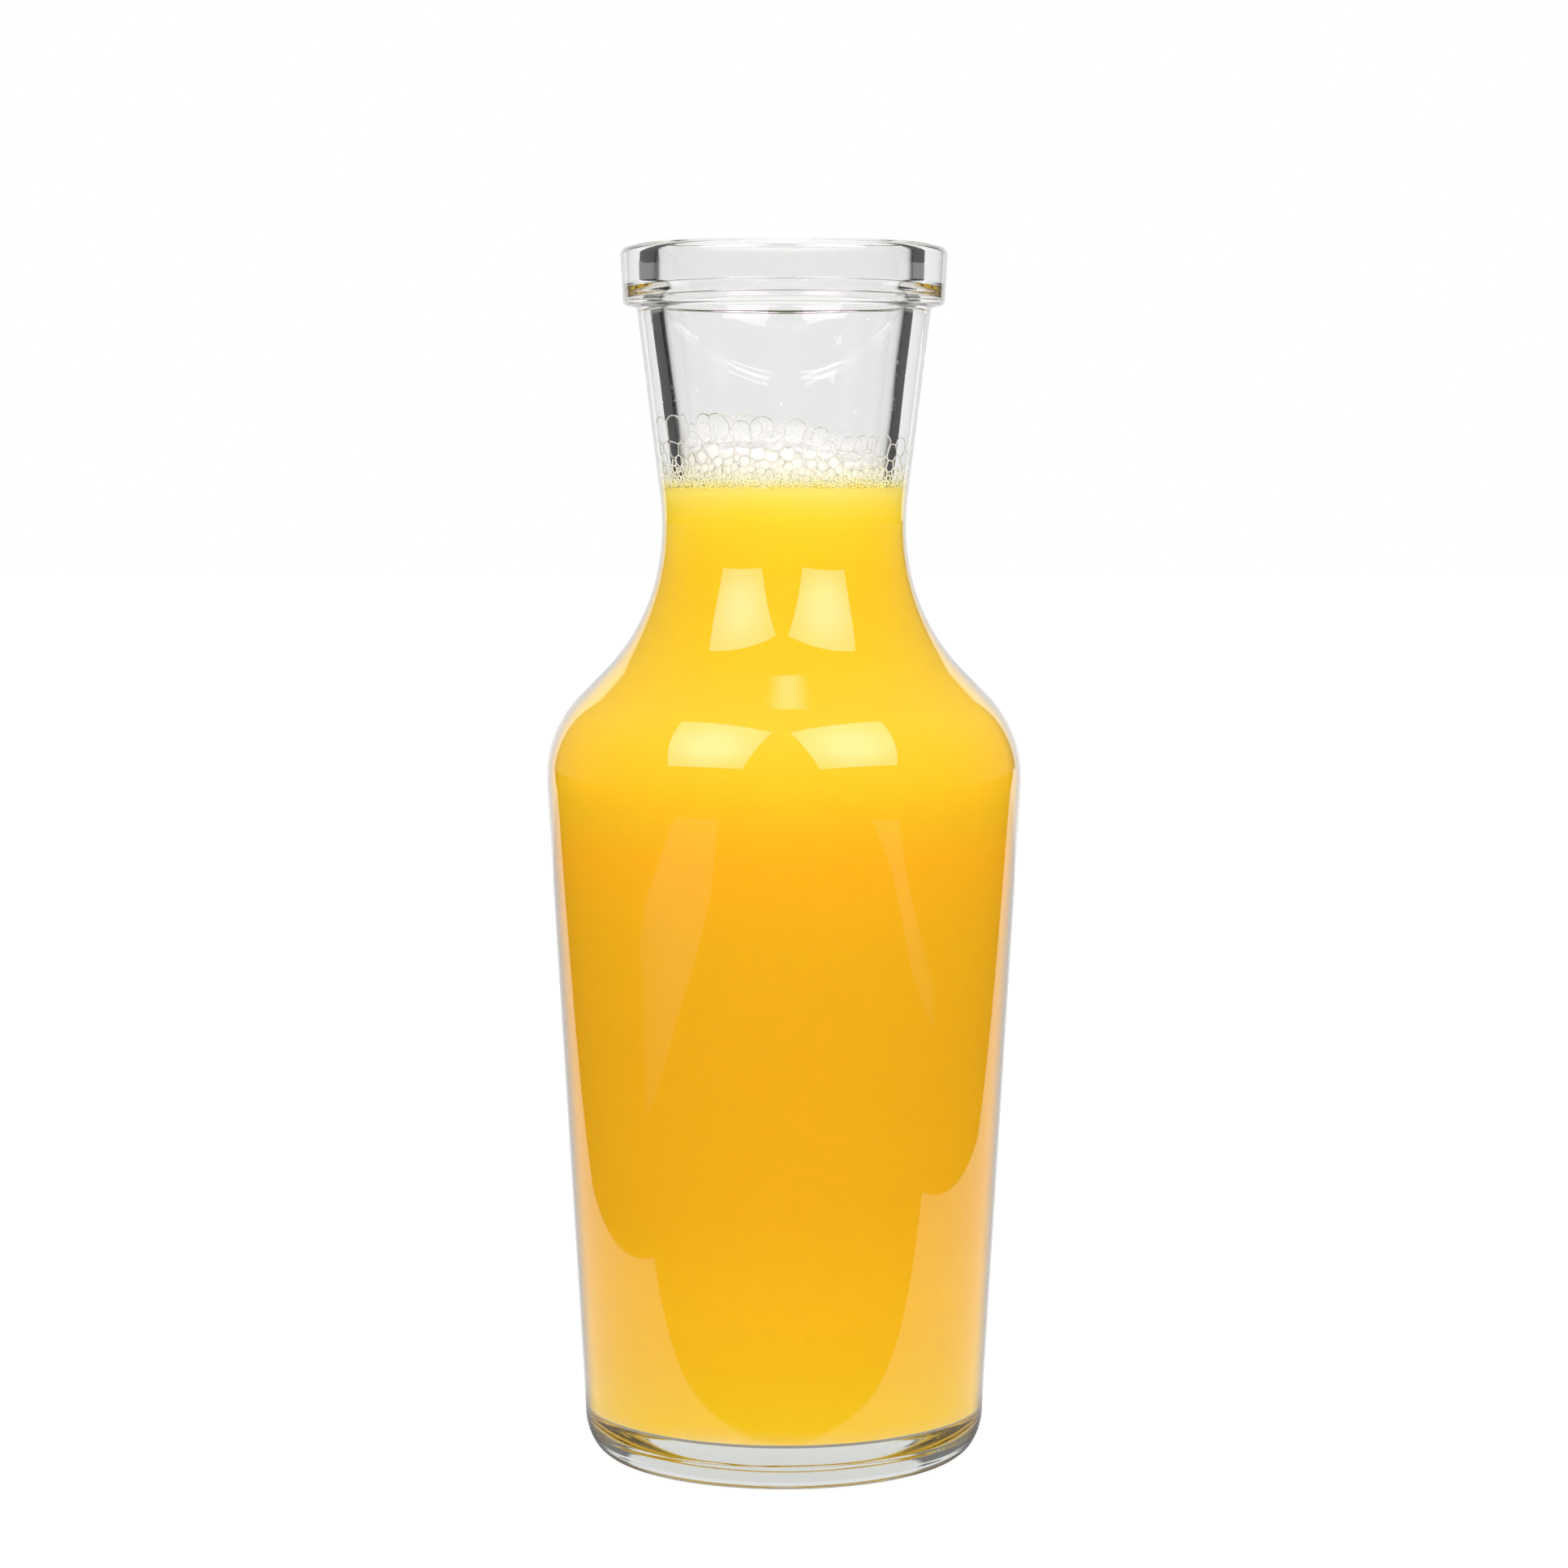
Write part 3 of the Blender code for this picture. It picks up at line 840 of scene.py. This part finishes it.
def droplets_mesh():
    """Flat drops on the inside of the neck, above the froth."""
    draw = random.Random(NET_SEED + 2)
    bm = bmesh.new()
    for _ in range(DROPLETS):
        angle = draw.uniform(-math.pi, math.pi)
        height = DROPLET_LOW + (DROPLET_HIGH - DROPLET_LOW) * draw.random() ** DROPLET_HEIGHT_POWER
        size = (DROPLET_SMALLEST + DROPLET_ADDED * draw.random() ** 3) * MM
        centre = place(angle, inner_radius(height) - DROPLET_SINK * size, height)
        turn = Matrix.Rotation(angle, 4, "Z")
        flat = Matrix.Diagonal(DROPLET_SHAPE)
        bmesh.ops.create_icosphere(
            bm, subdivisions=2, radius=size, matrix=Matrix.Translation(centre) @ turn @ flat
        )
    return smooth_mesh("wall_droplets", bm)


def add_piece(name, mesh, material, node):
    """A piece of the object that stands for a solid of the frame."""
    piece = bpy.data.objects.new(name, mesh)
    mesh.materials.append(material)
    bpy.context.scene.collection.objects.link(piece)
    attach(piece, "root")
    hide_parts(node)
    return piece


class Nodes:
    """Short calls for making a node tree."""

    def __init__(self, owner):
        owner.use_nodes = True
        self.tree = owner.node_tree
        self.tree.nodes.clear()

    def add(self, kind, inputs=None, **settings):
        """A node with its settings, and each input linked from a socket or set to a value."""
        node = self.tree.nodes.new(kind)
        for key, value in settings.items():
            setattr(node, key, value)
        for key, value in (inputs or {}).items():
            if isinstance(value, bpy.types.NodeSocket):
                self.tree.links.new(value, node.inputs[key])
            else:
                node.inputs[key].default_value = value
        return node

    def maths(self, operation, first, second=0.0, third=0.0):
        """The result of one operation on up to three values."""
        node = self.add("ShaderNodeMath", {0: first, 1: second, 2: third}, operation=operation)
        return node.outputs[0]

    def spread(self, value, low, high, out_low=0.0, out_high=1.0):
        """The value, eased from one range to another."""
        inputs = {"Value": value, "From Min": low, "From Max": high, "To Min": out_low, "To Max": out_high}
        return self.add("ShaderNodeMapRange", inputs, interpolation_type="SMOOTHSTEP").outputs["Result"]

    def mix(self, factor, first, second):
        """From the first colour to the second. A colour's sockets go by number in this node."""
        return self.add("ShaderNodeMix", {0: factor, 6: first, 7: second}, data_type="RGBA").outputs[2]

    def where(self):
        """The place on the object, and its height."""
        spot = self.add("ShaderNodeTexCoord").outputs["Object"]
        return spot, self.add("ShaderNodeSeparateXYZ", {0: spot}).outputs["Z"]

    def cloud(self, spot, scale, detail):
        """A soft noise from 0 to 1."""
        inputs = {"Vector": spot, "Scale": scale, "Detail": detail}
        return self.add("ShaderNodeTexNoise", inputs).outputs["Fac"]

    def ramp(self, value, stops):
        """Colours along a value: stops are (place, (red, green, blue))."""
        node = self.add("ShaderNodeValToRGB", {"Fac": value})
        elements = node.color_ramp.elements
        while len(elements) < len(stops):
            elements.new(1.0)
        for element, (where, colour) in zip(elements, stops):
            element.position = where
            element.color = (*colour, 1.0)
        return node.outputs["Color"]

    def finish(self, surface, volume=None, kind="ShaderNodeOutputMaterial"):
        """Ends the tree with a shader for the surface and one for the inside, if there is any."""
        out = self.add(kind)
        self.tree.links.new(surface.outputs[0], out.inputs["Surface"])
        if volume:
            self.tree.links.new(volume.outputs[0], out.inputs["Volume"])


def glass_material():
    """Clear soda glass: smooth, faintly green through its depth and darker at its outline."""
    material = bpy.data.materials.new("clear_glass")
    nodes = Nodes(material)
    facing = nodes.add("ShaderNodeLayerWeight", {"Blend": 0.5}).outputs["Facing"]
    clear = nodes.spread(facing, *GLASS_OUTLINE)
    shader = nodes.add("ShaderNodeBsdfPrincipled", {
        "Base Color": clear, "Roughness": 0.0, "IOR": GLASS_IOR, "Transmission Weight": 1.0,
    })
    depth = nodes.add("ShaderNodeVolumeAbsorption", {"Color": GLASS_TINT, "Density": GLASS_DENSITY})
    nodes.finish(shader, depth)
    return material


def juice_material():
    """Orange juice: opaque, deeper in colour low in the body and yellower in the neck, in part through
    painted light.
    """
    material = bpy.data.materials.new("orange_juice")
    nodes = Nodes(material)
    spot, height = nodes.where()
    cloud = nodes.cloud(spot, 60.0, 3.0)
    level = nodes.maths("SUBTRACT", height, CLOUD_DRIFT / 2)
    share = nodes.maths("DIVIDE", nodes.maths("MULTIPLY_ADD", cloud, CLOUD_DRIFT, level), JUICE_LEVEL)
    # Colours by height are partly the juice's own and partly painted light: lighter and yellower at the
    # shoulder, the neck and the foot, where light falls from above, shines through the narrow neck and
    # comes up from the table.
    stops = [
        (9, (0.78, 0.60, 0.22)),
        (10.5, (0.80, 0.55, 0.06)),
        (13, (0.825, 0.543, 0.0151)),
        (24, (0.815, 0.503, 0.0133)),
        (38, (0.810, 0.481, 0.0133)),
        (58, (0.768, 0.433, 0.0115)),
        (92, (0.757, 0.423, 0.0115)),
        (112, (0.765, 0.438, 0.0115)),
        (130, (0.838, 0.458, 0.0133)),
        (138, (0.824, 0.509, 0.0168)),
        (144, (0.860, 0.538, 0.0177)),
        (151, (0.827, 0.543, 0.0275)),
        (157, (0.796, 0.553, 0.0381)),
        (168, (0.790, 0.561, 0.0266)),
        (180, (0.812, 0.547, 0.0221)),
        (188, (0.849, 0.564, 0.0195)),
        (196, (0.880, 0.625, 0.0257)),
        (199, (0.920, 0.670, 0.0381)),
        (202.3, (0.900, 0.711, 0.0780)),
        (204.5, (0.910, 0.740, 0.1400)),
    ]
    colour = nodes.ramp(share, [(z * MM / JUICE_LEVEL, colour) for z, colour in stops])
    nodes.finish(nodes.add("ShaderNodeBsdfPrincipled", {
        "Base Color": colour, "Roughness": 0.6, "IOR": 1.35, "Specular IOR Level": 0.0,
    }))
    return material


def froth_material(name, stops, roughness):
    """Wet foam: nearly white on top, and yellow where it is fine and full of juice.

    Faces that look up get painted shade, or the top of the core would show as a white band.
    """
    material = bpy.data.materials.new(name)
    nodes = Nodes(material)
    spot, height = nodes.where()
    cloud = nodes.cloud(spot, 350.0, 2.0)
    above = nodes.maths("SUBTRACT", nodes.maths("MULTIPLY_ADD", cloud, FROTH_DRIFT, height), JUICE_LEVEL)
    share = nodes.maths("DIVIDE", above, FROTH_COLOUR_HEIGHT)
    normal = nodes.add("ShaderNodeNewGeometry").outputs["Normal"]
    upward = nodes.add("ShaderNodeSeparateXYZ", {0: normal}).outputs["Z"]
    colour = nodes.ramp(share, stops)
    # Painted shade: the colour is darkened on faces that look up, by how far they look up.
    top_painted_shade = nodes.mix(TOP_SHADE, colour, BLACK)
    shaded = nodes.mix(nodes.spread(upward, 0.0, 1.0), colour, top_painted_shade)
    nodes.finish(nodes.add("ShaderNodeBsdfPrincipled", {
        "Base Color": shaded, "Roughness": roughness, "IOR": LIQUID_IOR,
    }))
    return material


def film_material(name, outline, opacity):
    """The skin of a bubble: clear in the middle, and denser towards its outline."""
    material = bpy.data.materials.new(name)
    nodes = Nodes(material)
    facing = nodes.add("ShaderNodeLayerWeight", {"Blend": 0.5}).outputs["Facing"]
    added, power, left = opacity
    edge = nodes.maths("POWER", facing, power)
    colour = nodes.mix(edge, FILM_COLOUR, outline)
    alpha = nodes.maths("MULTIPLY_ADD", edge, added, left)
    nodes.finish(nodes.add("ShaderNodeBsdfPrincipled", {
        "Base Color": colour, "Roughness": 0.04, "IOR": LIQUID_IOR, "Alpha": alpha,
    }))
    return material


def droplet_material():
    """Cloudy drops, some a little greyer than others."""
    material = bpy.data.materials.new("droplets")
    nodes = Nodes(material)
    spot = nodes.add("ShaderNodeTexCoord").outputs["Object"]
    stops = [(0.3, (0.90, 0.90, 0.86)), (0.7, (0.78, 0.79, 0.77))]
    colour = nodes.ramp(nodes.cloud(spot, 900.0, 2.0), stops)
    nodes.finish(nodes.add("ShaderNodeBsdfPrincipled", {
        "Base Color": colour, "Roughness": 0.1, "IOR": LIQUID_IOR,
    }))
    return material


def direction(azimuth, elevation):
    """The unit vector that points this way."""
    a, e = math.radians(azimuth), math.radians(elevation)
    return Vector((math.sin(a) * math.cos(e), math.cos(a) * math.cos(e), math.sin(e)))


def seen_in(nodes):
    """Whether a ray was scattered by the juice or froth, is seen straight on or was never mirrored."""
    path = nodes.add("ShaderNodeLightPath").outputs
    mirrored, passed = path["Glossy Depth"], path["Transmission Depth"]
    scattered = nodes.maths("GREATER_THAN", path["Diffuse Depth"], 0.5)
    direct = nodes.maths("LESS_THAN", nodes.maths("ADD", mirrored, passed), 0.5)
    return scattered, direct, nodes.maths("LESS_THAN", mirrored, 0.5)


def sideways(nodes, x, y):
    """How far a direction or a place lies to the sides or the front, which are white through the glass."""
    azimuth = nodes.maths("ABSOLUTE", nodes.maths("ARCTAN2", x, y))
    return nodes.spread(azimuth, *[math.radians(angle) for angle in AROUND])


def backdrop(nodes, x, y):
    """Whether a direction, or a place far behind the object, is on the backdrop, and its brightness.

    What the outside of the glass mirrors of it ends sooner on the right.
    """
    azimuth = nodes.maths("ARCTAN2", x, y)
    inner = nodes.add("ShaderNodeLightPath").outputs["Transmission Depth"]
    outer = nodes.maths("LESS_THAN", inner, 0.5)
    left, right, edge = (math.radians(angle) for angle in (BACKDROP_LEFT, BACKDROP_RIGHT, BACKDROP_EDGE))
    moved = nodes.maths("MULTIPLY_ADD", outer, right - math.radians(BACKDROP_OUTER_RIGHT), azimuth)
    inside = nodes.spread(azimuth, left - edge, left + edge)
    inside = nodes.maths("MULTIPLY", inside, nodes.spread(moved, right + edge, right - edge))
    middle = [math.radians(angle) for angle in BACKDROP_MIDDLE]
    beside = nodes.spread(nodes.maths("ABSOLUTE", azimuth), *middle, 0.0, BACKDROP_SHEEN)
    return inside, nodes.maths("MULTIPLY_ADD", beside, outer, BACKDROP_LIGHT)


def make_world():
    """White behind the object, a dark studio in what it mirrors and an even light on what is in it."""
    world = bpy.data.worlds.new("studio")
    world.cycles.sampling_method = "NONE"
    nodes = Nodes(world)
    scattered, direct, passed = seen_in(nodes)
    way = nodes.add("ShaderNodeTexCoord").outputs["Generated"]
    x, y, z = nodes.add("ShaderNodeSeparateXYZ", {0: way}).outputs
    even = nodes.maths("MULTIPLY_ADD", z, ROOM_LIGHT_UP, ROOM_LIGHT)
    even = nodes.maths("MULTIPLY_ADD", x, ROOM_LIGHT_RIGHT, even)
    even = nodes.maths("MULTIPLY_ADD", nodes.maths("MULTIPLY", y, y), ROOM_LIGHT_FACING, even)
    studio = nodes.spread(y, *STUDIO_TURN, STUDIO_FRONT, STUDIO_SIDES)
    inside, white = backdrop(nodes, x, y)
    studio = nodes.mix(inside, studio, white)
    studio = nodes.mix(nodes.maths("MULTIPLY", passed, sideways(nodes, x, y)), studio, WHITE)
    colour = nodes.mix(direct, studio, WHITE)
    colour = nodes.mix(scattered, colour, even)
    nodes.finish(nodes.add("ShaderNodeBackground", {"Color": colour}), kind="ShaderNodeOutputWorld")
    bpy.context.scene.world = world


def add_stage(name, corners, material):
    """A flat face that belongs to the studio, not to the object."""
    mesh = bpy.data.meshes.new(name)
    mesh.from_pydata(corners, [], [range(len(corners))])
    mesh.materials.append(material)
    obj = bpy.data.objects.new(name, mesh)
    bpy.context.scene.collection.objects.link(obj)
    return obj


def flat(corners, height):
    """Corners (x, y) as points at one height."""
    return [Vector((x, y, height)) for x, y in corners]


def light_material(name):
    """A material that glows but isn't searched for as a lamp, and its nodes."""
    material = bpy.data.materials.new(name)
    material.cycles.emission_sampling = "NONE"
    return material, Nodes(material)


def add_light(name, corners, material):
    """A flat face that lights nothing and only shows in the glass."""
    light = add_stage(name, corners, material)
    light.visible_camera = False
    light.visible_diffuse = False
    light.visible_shadow = False
    return light


def lamp_corners(ways):
    """Corners of a lamp beside the camera, the two low ones first."""
    distances = (LAMP_LOW_DISTANCE,) * 2 + (LAMP_HIGH_DISTANCE,) * 2
    return [LAMP_AIM + direction(*way) * distance for way, distance in zip(ways, distances)]


def add_lamp(name, corners, strength, edge_share):
    """A flat lamp that is brightest in the middle."""
    material, nodes = light_material(name)
    centre = sum(corners, Vector((0.0, 0.0, 0.0))) / 4
    here = nodes.add("ShaderNodeNewGeometry").outputs["Position"]
    away = nodes.add("ShaderNodeVectorMath", {0: here, 1: centre}, operation="DISTANCE").outputs["Value"]
    light = nodes.spread(away, 0.0, (corners[0] - centre).length, strength, strength * edge_share)
    nodes.finish(nodes.add("ShaderNodeEmission", {"Color": LAMP_COLOUR, "Strength": light}))
    return add_light(name, corners, material)


def add_strip(name, corners):
    """A pale card low beside the object, that only shows in what the outside of the glass mirrors."""
    material, nodes = light_material(name)
    here = nodes.add("ShaderNodeNewGeometry").outputs["Position"]
    y = nodes.add("ShaderNodeSeparateXYZ", {0: here}).outputs["Y"]
    light = nodes.spread(y, *STRIP_FADE, *STRIP_LIGHT)
    nodes.finish(nodes.add("ShaderNodeEmission", {"Strength": light}))
    add_light(name, flat(corners, STRIP_LEVEL), material).visible_transmission = False


def add_floor():
    """A wide white floor. In reflections it is a white table in front of the backdrop, and dark beyond."""
    material, nodes = light_material("floor")
    scattered, direct, passed = seen_in(nodes)
    here = nodes.add("ShaderNodeNewGeometry").outputs["Position"]
    x, y, _ = nodes.add("ShaderNodeSeparateXYZ", {0: here}).outputs
    left, right = (
        nodes.maths(furthest, *[nodes.maths("MULTIPLY_ADD", y, slope, start) for start, slope in lines])
        for furthest, lines in (("MINIMUM", TABLE_LEFT), ("MAXIMUM", TABLE_RIGHT))
    )
    table = nodes.spread(nodes.maths("SUBTRACT", y, TABLE_FRONT), -TABLE_EDGE, TABLE_EDGE)
    for inside in (nodes.maths("SUBTRACT", x, left), nodes.maths("SUBTRACT", right, x)):
        table = nodes.maths("MULTIPLY", table, nodes.spread(inside, -TABLE_EDGE, TABLE_EDGE))
    inside, white = backdrop(nodes, x, y)
    far = nodes.spread(y, FAR_TABLE - FAR_EDGE, FAR_TABLE + FAR_EDGE)
    table = nodes.maths("MAXIMUM", table, nodes.maths("MULTIPLY", far, inside))
    table = nodes.maths("MAXIMUM", table, nodes.maths("MULTIPLY", passed, sideways(nodes, x, y)))
    away = nodes.add("ShaderNodeVectorMath", {0: here}, operation="LENGTH").outputs["Value"]
    shaded = nodes.spread(away, *TABLE_SHADE_REACH, TABLE_LIGHT * TABLE_SHADE, TABLE_LIGHT)
    shaded = nodes.spread(far, 0.0, 1.0, shaded, white)
    light = nodes.spread(table, 0.0, 1.0, STUDIO_FRONT, shaded)
    light = nodes.spread(scattered, 0.0, 1.0, light, ROOM_LIGHT_TABLE)
    card = nodes.add("ShaderNodeEmission", {"Strength": light})
    glow = nodes.add("ShaderNodeEmission", {"Strength": FLOOR_GLOW})
    shade = nodes.add("ShaderNodeBsdfDiffuse", {"Color": (FLOOR_SHADE, FLOOR_SHADE, FLOOR_SHADE, 1.0)})
    seen = nodes.add("ShaderNodeAddShader", {0: glow.outputs[0], 1: shade.outputs[0]})
    nodes.finish(nodes.add("ShaderNodeMixShader", {0: direct, 1: card.outputs[0], 2: seen.outputs[0]}))
    size = FLOOR_SIZE
    corners = ((-size, -size), (size, -size), (size, size), (-size, size))
    add_stage("floor", flat(corners, FLOOR_LEVEL), material)


def add_camera():
    """The camera at the photograph's angle, a little above the neck and looking down."""
    data = bpy.data.cameras.new("camera")
    data.lens = LENS
    data.sensor_width = SENSOR
    data.clip_start = CAMERA_NEAREST
    camera = bpy.data.objects.new("camera", data)
    camera.location = CAMERA_PLACE
    camera.rotation_euler = (math.radians(90.0 - CAMERA_PITCH), 0.0, 0.0)
    bpy.context.scene.collection.objects.link(camera)
    bpy.context.scene.camera = camera


def set_paths():
    """Light may pass many faces of glass. Colours are shown as they are."""
    scene = bpy.context.scene
    scene.view_settings.view_transform = "Standard"
    scene.cycles.max_bounces = 32
    scene.cycles.diffuse_bounces = 6
    scene.cycles.glossy_bounces = 16
    scene.cycles.transmission_bounces = 24
    scene.cycles.transparent_max_bounces = 40


def main():
    """The studio first, then the pieces of the object."""
    add_camera()
    set_paths()
    make_world()
    add_lamp("lamp_left", lamp_corners(LEFT_LAMP), LAMP_LIGHT, LAMP_EDGE_SHARE)
    add_lamp("lamp_right", lamp_corners(RIGHT_LAMP), LAMP_LIGHT, LAMP_EDGE_SHARE)
    top = add_lamp("lamp_top", flat(TOP_LAMP_PLACES, TOP_LAMP_HEIGHT), TOP_LAMP_LIGHT, 0.0)
    top.visible_transmission = False
    add_strip("strip_left", LEFT_STRIP)
    add_strip("strip_right", RIGHT_STRIP)
    add_floor()
    add_piece("glass_carafe", carafe_mesh(), glass_material(), "carafe")
    add_piece("orange_juice", juice_mesh(), juice_material(), "juice")
    net = froth_material("froth_net", NET_STOPS, NET_ROUGHNESS)
    core = froth_material("froth", FROTH_STOPS, CORE_ROUGHNESS)
    film = film_material("froth_film", FILM_OUTLINE, FILM_OPACITY)
    foam = film_material("froth_foam", FOAM_OUTLINE, FOAM_OPACITY)
    large, small = [*wall_bubbles(), *middle_bubbles()], [*piled_bubbles(), *edge_bubbles()]
    add_piece("froth_net", net_mesh(), net, "froth")
    add_piece("froth_core", core_mesh(), core, "froth")
    add_piece("froth_bubbles", film_mesh("froth_bubbles", large), film, "froth")
    add_piece("froth_foam", film_mesh("froth_foam", small), foam, "froth")
    add_piece("wall_droplets", droplets_mesh(), droplet_material(), "froth")


main()
